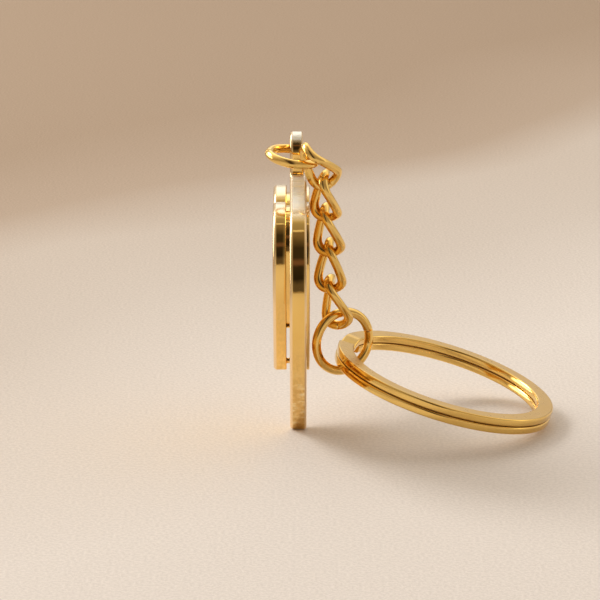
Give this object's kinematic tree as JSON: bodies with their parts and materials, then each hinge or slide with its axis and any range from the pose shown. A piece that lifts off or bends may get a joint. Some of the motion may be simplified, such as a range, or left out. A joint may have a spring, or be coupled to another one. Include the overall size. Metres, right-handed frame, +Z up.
{
  "type": "keychain",
  "caption": "Gold-plated keychain: a heart-shaped fob of stacked plates with an eye, jump rings, a short twisted curb chain and a split ring for keys.",
  "frame": {"origin": "lowest point of the fob's tip, midway through its width; the fob stands upright", "axes": "+Z up; +X through the fob's thickness, from its front plate to the side where the chain and split ring lie; +Y across the fob, away from the camera"},
  "size_m": [0.039, 0.0359, 0.0409],
  "materials": {
    "plate_gold": "mirror polish, gold-plated",
    "wire_gold": "bright polish, gold-plated"
  },
  "bodies": {
    "fob": {"main_plate": "plate_gold", "front_plate": "plate_gold", "spacer_plate": "plate_gold", "lower_post": "plate_gold", "back_plate": "plate_gold"},
    "small_ring": {"small_jump_ring": "wire_gold"},
    "link_1": {"chain_link_1": "wire_gold"},
    "link_2": {"chain_link_2": "wire_gold"},
    "link_3": {"chain_link_3": "wire_gold"},
    "link_4": {"chain_link_4": "wire_gold"},
    "link_5": {"chain_link_5": "wire_gold"},
    "large_ring": {"large_jump_ring": "wire_gold"},
    "split_ring": {"split_ring": "wire_gold"}
  },
  "joints": [
    {"name": "small_ring_swing", "type": "hinge", "parent": "fob", "child": "small_ring", "pos_m": [-0.00049, -0.00191, 0.0382], "axis": [0, 0, 1], "range_deg": [-8, 3]},
    {"name": "link_1_swing", "type": "hinge", "parent": "small_ring", "child": "link_1", "pos_m": [0.00138, -0.00514, 0.03758], "axis": [0.6363, 0.7711, -0.0209], "range_deg": [-55, 0]},
    {"name": "link_2_swing", "type": "hinge", "parent": "link_1", "child": "link_2", "pos_m": [0.00397, -0.00246, 0.03447], "axis": [0.8314, 0.094, 0.5477], "range_deg": [-20, 2]},
    {"name": "link_3_swing", "type": "hinge", "parent": "link_2", "child": "link_3", "pos_m": [0.00335, -0.00085, 0.03078], "axis": [0.1766, 0.9436, 0.2799], "range_deg": [-28, 0]},
    {"name": "link_4_swing", "type": "hinge", "parent": "link_3", "child": "link_4", "pos_m": [0.00403, 0.00096, 0.02425], "axis": [0.9793, -0.1971, 0.0466], "range_deg": [-5, 35]},
    {"name": "link_5_swing", "type": "hinge", "parent": "link_4", "child": "link_5", "pos_m": [0.00396, 0.00145, 0.02045], "axis": [0.2423, 0.9505, 0.1943], "range_deg": [-40, 0]},
    {"name": "large_ring_swing", "type": "hinge", "parent": "link_5", "child": "large_ring", "pos_m": [0.00529, 0.00246, 0.01384], "axis": [0.9503, -0.2729, 0.1499], "range_deg": [-10, 10]},
    {"name": "split_ring_swing", "type": "hinge", "parent": "large_ring", "child": "split_ring", "pos_m": [0.00598, 0.00287, 0.00964], "axis": [-0.0335, 0.9984, 0.0459], "range_deg": [-45, 60]}
  ]
}
